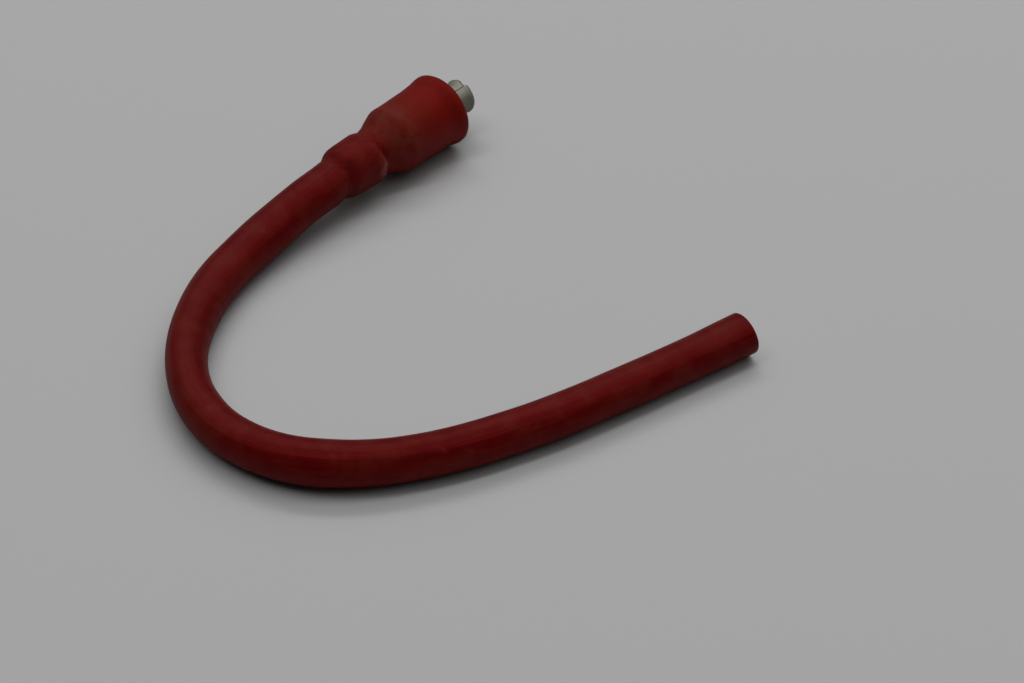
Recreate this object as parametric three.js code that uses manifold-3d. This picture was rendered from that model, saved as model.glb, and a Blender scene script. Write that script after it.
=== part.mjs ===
// Ignition coil lead: a short length of thick silicone high tension cable with a moulded boot and
// a plated terminal at one end and a plain square cut at the other, lying as it would on a bench.
// Millimetres, +Z up. The boot's axis runs along +X, towards the terminal's tip.

import * as THREE from 'three';
import { mergeVertices } from 'three/addons/utils/BufferGeometryUtils.js';
import Module from 'manifold-3d';

const wasm = await Module();
wasm.setup();

// Clearances that stand for surfaces in contact.
const fitGap = 0.3;
const layerGap = 0.15;
const benchGap = 0.02;

// Cable, from the core out. Together they make it 8.0 mm across.
const coreDiameter = 2.2;
const insulationWall = 1.25;
const braidThickness = 0.3;
const jacketWall = 0.9;

// Boot, measured along its axis from the back face, where the cable leaves it.
const bootLength = 29.4;
const neckWall = 0.78;
const collarLength = 9.2;
const collarWall = 1.0;
const collarTaper = 0.22;
const collarBackRound = 1.7;
const collarFrontRound = 1.3;
const creaseWidth = 0.7;
const creaseWall = 0.4;
const waistWall = 0.52;
const coneLength = 6.2;
const bellBackRadius = 6.75;
const bellFrontRadius = 7.08;
const lipRadius = 7.5;
const lipFlareLength = 3.4;
const lipLandLength = 1.8;
const lipRound = 0.5;
const bellBackWall = 1.5;
const mouthBoreRadius = 5.5;
const mouthChamfer = 0.3;

// Terminal: one strip, rolled into a barrel in front and wrapped round the jacket behind.
const stripThickness = 0.5;
const barrelDiameter = 6.6;
const barrelLength = 10.0;
const beadHeight = 0.2;
const beadLength = 1.0;
const beadSetback = 0.5;
const tipRound = 0.25;
const seamWidth = 0.7;
const seamTurn = 20;
const jacketGripLength = 5.0;
const jacketGripOverhang = 0.3;
const coreGripLength = 2.0;
const coreGripSetback = 1.0;
const coreGripSplit = 0.5;
const coreStubLength = 3.4;

// Fineness of the round shapes.
const latheSides = 36;
const jacketSides = 12;
const layerSides = 8;
const cableSteps = 38;
const roundSteps = 4;
const blendSteps = 7;

// Radii that follow from the sizes above.
const coreRadius = coreDiameter / 2;
const insulationBore = coreRadius + layerGap;
const insulationRadius = insulationBore + insulationWall;
const braidBore = insulationRadius + layerGap;
const braidRadius = braidBore + braidThickness;
const jacketBore = braidRadius + layerGap;
const jacketRadius = jacketBore + jacketWall;
const neckBore = jacketRadius + fitGap;
const jacketGripBore = jacketRadius + fitGap;
const jacketGripRadius = jacketGripBore + stripThickness;
const barrelRadius = barrelDiameter / 2;
const barrelBore = barrelRadius - stripThickness;
const coreGripBore = coreRadius + fitGap;

// Stations along the boot's axis.
const waistX = collarLength + creaseWidth;
const bellX = waistX + coneLength;

// The terminal's jacket grip stands against the step where the bell's bore begins.
const jacketGripBackX = bellX + fitGap;
const jacketGripFrontX = jacketGripBackX + jacketGripLength;
const jacketFrontX = jacketGripFrontX - jacketGripOverhang;
const coreGripX = jacketFrontX + coreGripSetback;
const barrelX = coreGripX + coreGripLength + coreGripSetback;
const tipX = barrelX + barrelLength;

// The flared lip rests on the bench, and the cable comes down from the boot to lie on it too.
const axisHeight = lipRadius;
const cableHeight = jacketRadius + benchGap;

// The cable's free length on the bench, as points from the boot's back face: along, across, up.
const freeRoute = [
  [-4, 0, axisHeight - 0.2],
  [-8, 0, axisHeight - 0.8],
  [-16, -0.1, cableHeight + 1.1],
  [-24, -0.9, cableHeight + 0.1],
  [-32, -2.5, cableHeight],
  [-39.4, -5.4, cableHeight],
  [-46, -9.9, cableHeight],
  [-51.3, -15.7, cableHeight],
  [-55.2, -22.7, cableHeight],
  [-57.1, -30.5, cableHeight],
  [-56.3, -38.4, cableHeight],
  [-53.3, -45.8, cableHeight],
  [-48.6, -52.2, cableHeight],
  [-42.8, -57.7, cableHeight],
  [-36.2, -62.2, cableHeight],
  [-29.1, -65.9, cableHeight],
  [-21.7, -68.9, cableHeight],
  [-14.1, -71.6, cableHeight],
  [-6.5, -74, cableHeight],
  [1.2, -76.3, cableHeight],
  [8.9, -78.4, cableHeight],
  [16.2, -80.3, cableHeight],
  [23.5, -82.1, cableHeight],
];

// Helpers for profiles, which are lists of points: place along the axis, radius.
function roundCorner(centreX, centreRadius, sizeX, sizeRadius, fromDegrees, toDegrees) {
  const points = [];
  for (let i = 0; i <= roundSteps; i += 1) {
    const degrees = fromDegrees + (toDegrees - fromDegrees) * (i / roundSteps);
    const angle = THREE.MathUtils.degToRad(degrees);
    points.push([centreX + sizeX * Math.cos(angle), centreRadius + sizeRadius * Math.sin(angle)]);
  }
  return points;
}

function blend(fromX, fromRadius, toX, toRadius) {
  const points = [];
  for (let i = 0; i <= blendSteps; i += 1) {
    const share = i / blendSteps;
    const eased = share * share * (3 - 2 * share);
    points.push([fromX + (toX - fromX) * share, fromRadius + (toRadius - fromRadius) * eased]);
  }
  return points;
}

// A closed profile turned about the boot's axis.
function turned(profile) {
  const points = profile.map(([x, radius]) => new THREE.Vector2(radius, x));
  points.push(points[0].clone());
  const geometry = new THREE.LatheGeometry(points, latheSides);
  geometry.rotateZ(-Math.PI / 2);
  return geometry;
}

// Solids for cutting and joining.
function solidOf(geometry) {
  const bare = geometry.clone();
  bare.deleteAttribute('normal');
  bare.deleteAttribute('uv');
  const merged = mergeVertices(bare, 1e-4);
  return new wasm.Manifold(new wasm.Mesh({
    numProp: 3,
    vertProperties: new Float32Array(merged.attributes.position.array),
    triVerts: new Uint32Array(merged.index.array),
  }));
}

function geometryOf(solid) {
  const mesh = solid.getMesh();
  const geometry = new THREE.BufferGeometry();
  geometry.setAttribute('position', new THREE.BufferAttribute(mesh.vertProperties, 3));
  geometry.setIndex(new THREE.BufferAttribute(mesh.triVerts, 1));
  geometry.computeVertexNormals();
  return geometry;
}

function block(lowX, highX, width, lowZ, highZ) {
  const geometry = new THREE.BoxGeometry(highX - lowX, width, highZ - lowZ);
  geometry.translate((lowX + highX) / 2, 0, (lowZ + highZ) / 2);
  return geometry;
}

// Boot: collar, crease, waist, cone and bell, with one bore through it.
function makeBoot() {
  const collarRadius = neckBore + collarWall;
  const collarBackRadius = collarRadius - collarTaper;
  const neckRadius = neckBore + neckWall - collarTaper;
  const creaseRadius = neckBore + creaseWall;
  const waistRadius = neckBore + waistWall;
  const roundHeight = collarBackRadius - neckRadius + collarTaper;
  const bellBore = bellBackRadius - bellBackWall;
  const flareEndX = bootLength - lipLandLength;
  const flareX = flareEndX - lipFlareLength;
  const boreConeX = bellX - (bellBore - neckBore) * 2;
  const profile = [
    [0, neckBore],
    ...roundCorner(collarBackRound, collarBackRadius - roundHeight,
      collarBackRound, roundHeight, 180, 90),
    ...roundCorner(collarLength - collarFrontRound, creaseRadius,
      collarFrontRound, collarRadius - creaseRadius, 90, 0),
    ...blend(waistX, waistRadius, bellX, bellBackRadius),
    ...blend(flareX, bellFrontRadius, flareEndX, lipRadius),
    ...roundCorner(bootLength - lipRound, lipRadius - lipRound, lipRound, lipRound, 90, 0),
    [bootLength, mouthBoreRadius + mouthChamfer],
    [bootLength - mouthChamfer, mouthBoreRadius],
    [bellX, bellBore],
    [boreConeX, neckBore],
  ];
  return turned(profile);
}

// Cable layers: rings or a disc swept along one route, so that each lies inside the next.
function makeRoute() {
  const inBoot = [jacketFrontX, jacketFrontX / 2, 0];
  const points = inBoot.map((x) => new THREE.Vector3(x, 0, axisHeight));
  freeRoute.forEach(([x, y, z]) => points.push(new THREE.Vector3(x, y, z)));
  return new THREE.CatmullRomCurve3(points, false, 'centripetal');
}

function makeLayer(route, radius, bore, sides) {
  const section = new THREE.Shape();
  section.absarc(0, 0, radius, 0, Math.PI * 2, false);
  if (bore > 0) {
    const hole = new THREE.Path();
    hole.absarc(0, 0, bore, 0, Math.PI * 2, true);
    section.holes.push(hole);
  }
  return new THREE.ExtrudeGeometry(section, {
    steps: cableSteps,
    curveSegments: sides / 2,
    extrudePath: route,
  });
}

// Core: the swept strand, and the straight stub that the terminal grips.
function makeCore(route) {
  const overlap = 1;
  const length = coreStubLength + overlap;
  const stub = new THREE.CylinderGeometry(coreRadius, coreRadius, length, layerSides);
  stub.rotateZ(-Math.PI / 2);
  stub.translate(jacketFrontX - overlap + length / 2, 0, axisHeight);
  const strand = makeLayer(route, coreRadius, 0, layerSides);
  return geometryOf(solidOf(strand).add(solidOf(stub)));
}

// Terminal: barrel with bead and seam, open channel, core grip and jacket grip.
function makeBarrel() {
  const beadFrontX = tipX - beadSetback;
  const beadBackX = beadFrontX - beadLength;
  const beadMiddleX = (beadFrontX + beadBackX) / 2;
  const profile = [
    [barrelX, barrelBore],
    [barrelX, barrelRadius],
    [beadBackX, barrelRadius],
    ...roundCorner(beadMiddleX, barrelRadius, beadLength / 2, beadHeight, 180, 0),
    ...roundCorner(tipX - tipRound, barrelRadius - tipRound, tipRound, tipRound, 90, 0),
    [tipX, barrelBore],
  ];
  return turned(profile);
}

function makeChannel() {
  const overlap = 0.4;
  const backX = jacketGripFrontX - overlap;
  const frontX = barrelX + overlap;
  const shell = turned([
    [backX, jacketGripBore],
    [backX, jacketGripRadius],
    [jacketGripFrontX, jacketGripRadius],
    [barrelX, barrelRadius],
    [frontX, barrelRadius],
    [frontX, barrelBore],
    [barrelX, barrelBore],
    [jacketGripFrontX, jacketGripBore],
  ]);
  const upperHalf = block(backX - 1, barrelX, jacketGripRadius * 4, 0, jacketGripRadius * 2);
  return solidOf(shell).subtract(solidOf(upperHalf));
}

function makeGrip(backX, length, bore, splitWidth) {
  const radius = bore + stripThickness;
  const frontX = backX + length;
  const ring = turned([
    [backX, bore],
    [backX, radius],
    [frontX, radius],
    [frontX, bore],
  ]);
  const split = block(backX - 1, frontX + 1, splitWidth, 0, radius * 2);
  return solidOf(ring).subtract(solidOf(split));
}

// The web that carries the core grip stands on the channel's sloping floor.
function makeWeb() {
  const halfStrip = stripThickness / 2;
  const post = block(coreGripX, coreGripX + coreGripLength, stripThickness * 2,
    -jacketGripRadius, -coreGripBore - halfStrip);
  const middleOfStrip = turned([
    [jacketGripFrontX, 0],
    [jacketGripFrontX, jacketGripRadius - halfStrip],
    [barrelX, barrelRadius - halfStrip],
    [barrelX, 0],
  ]);
  return solidOf(post).intersect(solidOf(middleOfStrip));
}

function makeTerminal() {
  const seam = block(barrelX - 1, tipX + 1, seamWidth, 0, barrelRadius * 2);
  seam.rotateX(THREE.MathUtils.degToRad(seamTurn));
  const solid = solidOf(makeBarrel()).subtract(solidOf(seam))
    .add(makeChannel())
    .add(makeGrip(jacketGripBackX, jacketGripLength, jacketGripBore, seamWidth))
    .add(makeGrip(coreGripX, coreGripLength, coreGripBore, coreGripSplit))
    .add(makeWeb());
  const geometry = geometryOf(solid);
  geometry.translate(0, 0, axisHeight);
  return geometry;
}

// Finishes.
const finishes = {
  bootSilicone: new THREE.MeshStandardMaterial({ color: 0x74211b, roughness: 0.6, metalness: 0 }),
  jacketSilicone: new THREE.MeshStandardMaterial({ color: 0x6e1d1a, roughness: 0.6, metalness: 0 }),
  glassFibre: new THREE.MeshStandardMaterial({ color: 0xd9d3c4, roughness: 0.8, metalness: 0 }),
  greySilicone: new THREE.MeshStandardMaterial({ color: 0x9b9a96, roughness: 0.6, metalness: 0 }),
  woundCore: new THREE.MeshStandardMaterial({ color: 0x55524e, roughness: 0.5, metalness: 0.5 }),
  platedSteel: new THREE.MeshStandardMaterial({ color: 0x96948a, roughness: 0.4, metalness: 1 }),
};

const lead = new THREE.Group();
// The origin is on the bench, under the middle of the boot and its terminal.
lead.position.set(-tipX / 2, 0, 0);

function addPiece(name, geometry, finish) {
  const mesh = new THREE.Mesh(geometry, finish);
  mesh.name = name;
  lead.add(mesh);
  return mesh;
}

const route = makeRoute();
addPiece('boot', makeBoot(), finishes.bootSilicone).position.z = axisHeight;
addPiece('terminal', makeTerminal(), finishes.platedSteel);
addPiece('wire_jacket', makeLayer(route, jacketRadius, jacketBore, jacketSides),
  finishes.jacketSilicone);
addPiece('glass_braid', makeLayer(route, braidRadius, braidBore, layerSides),
  finishes.glassFibre);
addPiece('inner_insulation', makeLayer(route, insulationRadius, insulationBore, layerSides),
  finishes.greySilicone);
addPiece('conductor_core', makeCore(route), finishes.woundCore);

export default lead;
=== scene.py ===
# Ignition coil lead: red silicone cable with a moulded boot and a plated terminal, on a pale bench.
# Metres, with mm in the tables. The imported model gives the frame: the boot's axis runs along +X,
# towards the terminal's tip.
import math

import bpy
import numpy as np
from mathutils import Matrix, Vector, noise


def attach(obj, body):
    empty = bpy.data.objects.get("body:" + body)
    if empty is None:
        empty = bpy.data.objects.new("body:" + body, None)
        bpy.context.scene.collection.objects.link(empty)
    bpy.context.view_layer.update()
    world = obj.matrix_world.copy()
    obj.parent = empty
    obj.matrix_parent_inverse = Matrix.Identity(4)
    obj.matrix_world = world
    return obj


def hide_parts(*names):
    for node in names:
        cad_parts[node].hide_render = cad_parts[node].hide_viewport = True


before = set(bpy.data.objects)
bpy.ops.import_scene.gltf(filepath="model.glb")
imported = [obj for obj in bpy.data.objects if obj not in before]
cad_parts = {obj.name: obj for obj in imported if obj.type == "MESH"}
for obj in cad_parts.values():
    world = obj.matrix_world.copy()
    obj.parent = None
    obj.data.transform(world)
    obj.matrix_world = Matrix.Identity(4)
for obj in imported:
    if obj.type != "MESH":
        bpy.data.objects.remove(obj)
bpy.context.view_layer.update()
mm = 0.001
siliconeIor = 1.41
smoothAngle = math.radians(40)   # faces that meet at less than this are shaded as one


def say(text):
    print("ignition lead:", text)


def linear(hexCode):  # an sRGB hex colour as linear RGBA
    parts = [int(hexCode[i:i + 2], 16) / 255 for i in (1, 3, 5)]
    return [c / 12.92 if c <= 0.04045 else ((c + 0.055) / 1.055) ** 2.4 for c in parts] + [1]


def addNode(tree, kind, inputs=None, stops=(), **settings):
    # a node with its settings, its inputs (a link, a value or a hex colour) and, for a colour
    # ramp, its stops (a place with a hex colour or a grey level)
    node = tree.nodes.new(kind)
    for name, value in settings.items():
        setattr(node, name, value)
    for name, value in (inputs or {}).items():
        if isinstance(value, bpy.types.NodeSocket):
            tree.links.new(value, node.inputs[name])
        else:
            node.inputs[name].default_value = linear(value) if isinstance(value, str) else value
    for i, (place, colour) in enumerate(stops):
        ramp = node.color_ramp.elements
        stop = ramp[i] if i < 2 else ramp.new(place)   # a new ramp comes with two
        stop.position = place
        stop.color = linear(colour) if isinstance(colour, str) else (colour, colour, colour, 1)
    return node


def newMaterial(name):
    material = bpy.data.materials.new(name)
    material.use_nodes = True
    material.node_tree.nodes.clear()
    return material, material.node_tree


def selectOnly(piece=None):  # this piece alone, or nothing
    bpy.ops.object.select_all(action="DESELECT")
    if piece:
        piece.select_set(True)
        bpy.context.view_layer.objects.active = piece


def pointing(turn, height):  # a unit vector: degrees from +X towards +Y, degrees above the bench
    turn, height = math.radians(turn), math.radians(height)
    return Vector((math.cos(height) * math.cos(turn), math.cos(height) * math.sin(turn),
                   math.sin(height)))


camera = {
    "aim": (-21.28, -50.13, 0),   # mm on the bench, at the middle of the picture
    "distance": 459.5,            # mm
    "heading": 43.2,              # degrees from +X towards +Y
    "pitch": 44.12,               # degrees down
    "focalPixels": 2525,
    "pictureWidth": 1024,         # pixels
    "sensorWidth": 36,            # mm
    "clip": (0.01, 20),           # m, the nearest and farthest that is drawn
}


def makeCamera():
    forward = pointing(camera["heading"], -camera["pitch"])
    bpy.ops.object.camera_add()
    shot = bpy.context.object
    shot.name = "photoCamera"
    shot.data.sensor_width = camera["sensorWidth"]
    shot.data.lens = camera["focalPixels"] * camera["sensorWidth"] / camera["pictureWidth"]
    shot.location = (Vector(camera["aim"]) - forward * camera["distance"]) * mm
    shot.rotation_euler = forward.to_track_quat("-Z", "Y").to_euler()
    shot.data.clip_start, shot.data.clip_end = camera["clip"]
    bpy.context.scene.camera = shot


makeCamera()
say("camera placed")

# The cable: its route, how it lies, and its jacket's marks.
cable = {
    # mm from the boot's back face: along, across, up. The same points as the CAD route.
    "route": [
        (21.1, 0, 7.5), (10.55, 0, 7.5), (0, 0, 7.5),
        (-4, 0, 7.3), (-8, 0, 6.7), (-16, -0.1, 5.12), (-24, -0.9, 4.12),
        (-32, -2.5, 4.02), (-39.4, -5.4, 4.02), (-46, -9.9, 4.02), (-51.3, -15.7, 4.02),
        (-55.2, -22.7, 4.02), (-57.1, -30.5, 4.02), (-56.3, -38.4, 4.02), (-53.3, -45.8, 4.02),
        (-48.6, -52.2, 4.02), (-42.8, -57.7, 4.02), (-36.2, -62.2, 4.02), (-29.1, -65.9, 4.02),
        (-21.7, -68.9, 4.02), (-14.1, -71.6, 4.02), (-6.5, -74, 4.02), (1.2, -76.3, 4.02),
        (8.9, -78.4, 4.02), (16.2, -80.3, 4.02), (23.5, -82.1, 4.02),
    ],
    "bootBack": -17.55,     # mm, where the cable leaves the boot
    "insideBoot": 21.1,     # mm of cable inside the boot
    "nominal": 8.0,         # mm across
    # Width as it lies, mm from the boot: it is fuller near the boot and draws in round the bend.
    "widths": [
        (-22, 8.0), (-3, 8.2), (-0.5, 8.3), (3, 8.62), (10, 8.58), (19, 8.8), (27, 8.55),
        (34, 8.55), (40, 8.3), (46, 8.05), (54, 7.65), (62, 7.68), (68, 7.9), (76, 7.95),
        (84, 8.16), (92, 8.45), (98, 8.35), (106, 8.0), (114, 7.9), (122, 7.9), (130, 7.8),
        (136, 7.93), (143, 7.8), (148, 7.92), (160, 7.82), (166, 7.9), (170, 8.15), (176, 8.2),
    ],
    # Height as it lies: bending makes the section stand a little taller.
    "heights": [
        (-22, 8.0), (-3, 8.2), (-0.5, 8.3), (3, 8.5), (10, 8.4), (20, 8.5), (34, 8.4),
        (44, 8.35), (56, 8.15), (70, 8.1), (80, 8.05), (92, 8.35), (100, 8.2), (112, 7.95),
        (122, 7.85), (160, 7.75), (168, 7.9), (176, 8.1),
    ],
    # How far the middle strays from the route: mm from the boot, outwards and down.
    "stray": [
        (-22, 0, 0), (-4, -0.05, 0.05), (0, -0.2, 0.18), (3, -0.34, 0.38), (8, -0.2, 0.24),
        (14, -0.14, 0.1), (20, -0.1, 0), (25, -0.06, 0), (30, -0.16, 0), (36, -0.35, 0),
        (42, -0.46, 0), (48, -0.25, 0), (54, 0.04, 0), (62, 0.24, 0), (72, 0.15, 0),
        (78, 0.12, 0), (88, 0.26, 0), (94, 0.24, 0), (102, 0.1, 0), (110, -0.05, 0),
        (122, -0.1, 0), (134, 0.12, 0), (144, 0.03, 0), (154, -0.08, 0), (166, -0.06, 0),
        (176, -0.02, 0),
    ],
    "landing": 22,          # mm from the boot to where the cable lies on the bench
    "ringStep": 0.8,        # mm between rings
    "cutRound": 0.12,       # mm, the softened edge of the cut
    "cutSlant": (0.045, -0.045),   # the cut is a little askew: mm longer per mm outwards and up
    "slantReach": 6,        # mm from the cut to where its slant has died away
    "lump": 0.035,          # mm, the uneven extrusion
    "lumpFrom": 22,         # mm from the hidden end, where the unevenness begins
    "lumpOver": 4,          # mm over which it grows
    # painted shade and light: the red darkens into the die lines' grooves and lightens on their
    # ridges
    "reds": [(0.3, "#490506"), (0.5, "#500607"), (0.7, "#580908")],   # over the die lines
    "dust": "#561a12",      # in faint blotches
    "scuffed": "#5e1e1a",
    "shade": "#3c0604",     # in the creases
    # sizes of the skin's patterns, mm
    "dieLine": 0.5,
    "blotch": 4.5,
    "speck": 0.6,
    "grain": 0.35,
    "creaseStep": 2.2,
    "creased": (54, 90),    # mm along the cable, where the bend is tight enough to crease
    "roughness": (0.27, 0.34),
    # small scuffs: mm across, above and along the cable, and their reach
    "scuffs": [
        (2.6, 3.1, 134.6, 1.3), (3.3, 2.3, 139.2, 1.0), (3.9, -0.7, 118.6, 1.2),
        (-1.7, 3.6, 41.5, 1.2), (2.2, 3.3, 63.5, 1.0), (0.5, 4.0, 92.0, 1.1),
    ],
}


def centripetal(points, perSpan=24):  # a Catmull-Rom curve through the points
    pts = [np.array(p, float) for p in points]
    pts = [2 * pts[0] - pts[1]] + pts + [2 * pts[-1] - pts[-2]]
    line = []
    for i in range(1, len(pts) - 2):
        p0, p1, p2, p3 = pts[i - 1:i + 3]
        t0 = 0.0
        t1 = t0 + np.linalg.norm(p1 - p0) ** 0.5
        t2 = t1 + np.linalg.norm(p2 - p1) ** 0.5
        t3 = t2 + np.linalg.norm(p3 - p2) ** 0.5
        for k in range(perSpan):
            t = t1 + (t2 - t1) * k / perSpan
            a1 = (t1 - t) / (t1 - t0) * p0 + (t - t0) / (t1 - t0) * p1
            a2 = (t2 - t) / (t2 - t1) * p1 + (t - t1) / (t2 - t1) * p2
            a3 = (t3 - t) / (t3 - t2) * p2 + (t - t2) / (t3 - t2) * p3
            b1 = (t2 - t) / (t2 - t0) * a1 + (t - t0) / (t2 - t0) * a2
            b2 = (t3 - t) / (t3 - t1) * a2 + (t - t1) / (t3 - t1) * a3
            line.append((t2 - t) / (t2 - t1) * b1 + (t - t1) / (t2 - t1) * b2)
    line.append(pts[-2])
    return np.array(line)


def spaced(line, places):  # points of a line at distances along it
    along = np.concatenate([[0], np.cumsum(np.linalg.norm(np.diff(line, axis=0), axis=1))])
    return np.stack([np.interp(places, along, line[:, k]) for k in range(3)], axis=1), along[-1]


def listed(table, place, column=1):  # a smooth curve through rows that start with a place
    xs, ys = [row[0] for row in table], [row[column] for row in table]
    i = max(1, min(len(xs) - 1, int(np.searchsorted(xs, place))))
    before, after = max(i - 2, 0), min(i + 1, len(xs) - 1)
    span = xs[i] - xs[i - 1]
    t = min(1, max(0, (place - xs[i - 1]) / span))
    slopeIn = (ys[i] - ys[before]) / (xs[i] - xs[before]) * span
    slopeOut = (ys[after] - ys[i - 1]) / (xs[after] - xs[i - 1]) * span
    return (ys[i - 1] * (1 + 2 * t) * (1 - t) ** 2 + slopeIn * t * (1 - t) ** 2
            + ys[i] * t * t * (3 - 2 * t) + slopeOut * t * t * (t - 1))


cableLine = centripetal([(x + cable["bootBack"], y, z) for x, y, z in cable["route"]])
cableLength = spaced(cableLine, [0])[1]


def cableSections(step):
    # ring places along the cable, each with its middle, side, up, half width, half height and
    # direction, in mm
    edge = cable["cutRound"]
    atEdges = [edge * 0.3, edge, cableLength - edge, cableLength - edge * 0.3]
    places = np.linspace(0, cableLength, int(cableLength / step) + 1)
    places = np.unique(np.concatenate([places, atEdges]))
    centres = spaced(cableLine, places)[0]
    ahead = spaced(cableLine, np.clip(places + 0.5, 0, cableLength))[0]
    behind = spaced(cableLine, np.clip(places - 0.5, 0, cableLength))[0]
    sections = []
    for s, centre, a, b in zip(places, centres, ahead, behind):
        tangent = Vector(a - b).normalized()
        side = tangent.cross(Vector((0, 0, 1))).normalized()
        up = side.cross(tangent)
        fromBoot = s - cable["insideBoot"]
        halfWide = listed(cable["widths"], fromBoot) / 2
        halfTall = listed(cable["heights"], fromBoot) / 2
        lift = min(1, max(0, fromBoot / cable["landing"]))
        middle = Vector(centre) + Vector((0, 0, (halfTall - cable["nominal"] / 2) * lift))
        middle += side * listed(cable["stray"], fromBoot)
        middle.z -= listed(cable["stray"], fromBoot, 2)
        sections.append((s, middle, side, up, halfWide, halfTall, tangent))
    return sections


def sweptLayer(name, outer, inner, sides, step, lump=0.0, stub=0.0):
    # outer and inner are radii in mm for the nominal 8 mm cable; they follow the section's shape
    sections = cableSections(step)
    if stub:  # bared length at the terminal's end
        s, middle, side, up, wide, tall, tangent = sections[0]
        sections.insert(0, (s - stub, middle - tangent * stub, side, up, wide, tall, tangent))
    half = cable["nominal"] / 2
    edge = cable["cutRound"]
    low, high = sections[0][0], sections[-1][0]
    verts, place, faces = [], [], []

    def addRing(section, radius, shrink=0.0):
        s, middle, side, up, wide, tall, tangent = section
        start = len(verts)
        for k in range(sides):
            turn = 2 * math.pi * k / sides
            c, d = math.cos(turn), math.sin(turn)
            r = radius - shrink
            if lump and radius == outer:   # slow and fine unevenness, on the skin alone
                wave = noise.noise(Vector((c * 0.7, d * 0.7, s * 0.055)))
                fine = noise.noise(Vector((c * 2.2 + 7, d * 2.2, s * 0.25)))
                grown = min(1, max(0, (s - cable["lumpFrom"]) / cable["lumpOver"]))
                r += lump * (wave * 1.2 + fine * 0.45) * grown
            across, above = c * r * wide / half, d * r * tall / half
            slant = cable["cutSlant"][0] * across + cable["cutSlant"][1] * above
            point = middle + side * across + up * above
            point += tangent * slant * min(1, max(0, 1 - (high - s) / cable["slantReach"]))
            point.z = max(point.z, 0.0)
            verts.append(point * mm)
            place.append((c * radius * mm, d * radius * mm, s * mm))
        return start

    def joinRings(a, b):
        for k in range(sides):
            n = (k + 1) % sides
            faces.append((a + k, b + k, b + n, a + n))

    outside = []
    for section in sections:
        nearEnd = min(section[0] - low, high - section[0])
        shrink = edge - math.sqrt(max(0, edge * edge - (edge - min(edge, nearEnd)) ** 2))
        outside.append(addRing(section, outer, shrink))
    for a, b in zip(outside, outside[1:]):
        joinRings(a, b)
    if inner:
        inside = [addRing(section, inner) for section in sections]
        for a, b in zip(inside, inside[1:]):
            joinRings(b, a)
    for end, flip in ((0, True), (-1, False)):   # the face at each end
        radii = [(outer + inner) / 2] if inner else [outer * 0.62, outer * 0.28]
        rings = [outside[end]] + [addRing(sections[end], radius) for radius in radii]
        if inner:
            rings.append(inside[end])
        for a, b in zip(rings, rings[1:]):
            joinRings(b, a) if flip else joinRings(a, b)
        if not inner:
            order = range(rings[-1], rings[-1] + sides)
            faces.append(tuple(reversed(order)) if flip else tuple(order))
    mesh = bpy.data.meshes.new(name)
    mesh.from_pydata([tuple(v) for v in verts], [], faces)
    mesh.update()
    attribute = mesh.attributes.new("cablePlace", "FLOAT_VECTOR", "POINT")
    attribute.data.foreach_set("vector", [c for p in place for c in p])
    piece = bpy.data.objects.new(name, mesh)
    bpy.context.scene.collection.objects.link(piece)
    selectOnly(piece)
    bpy.ops.object.mode_set(mode="EDIT")
    bpy.ops.mesh.select_all(action="SELECT")
    bpy.ops.mesh.normals_make_consistent(inside=False)
    bpy.ops.object.mode_set(mode="OBJECT")
    bpy.ops.object.shade_smooth_by_angle(angle=smoothAngle)
    return piece, [tuple(section[1] * mm) for section in sections]


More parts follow.
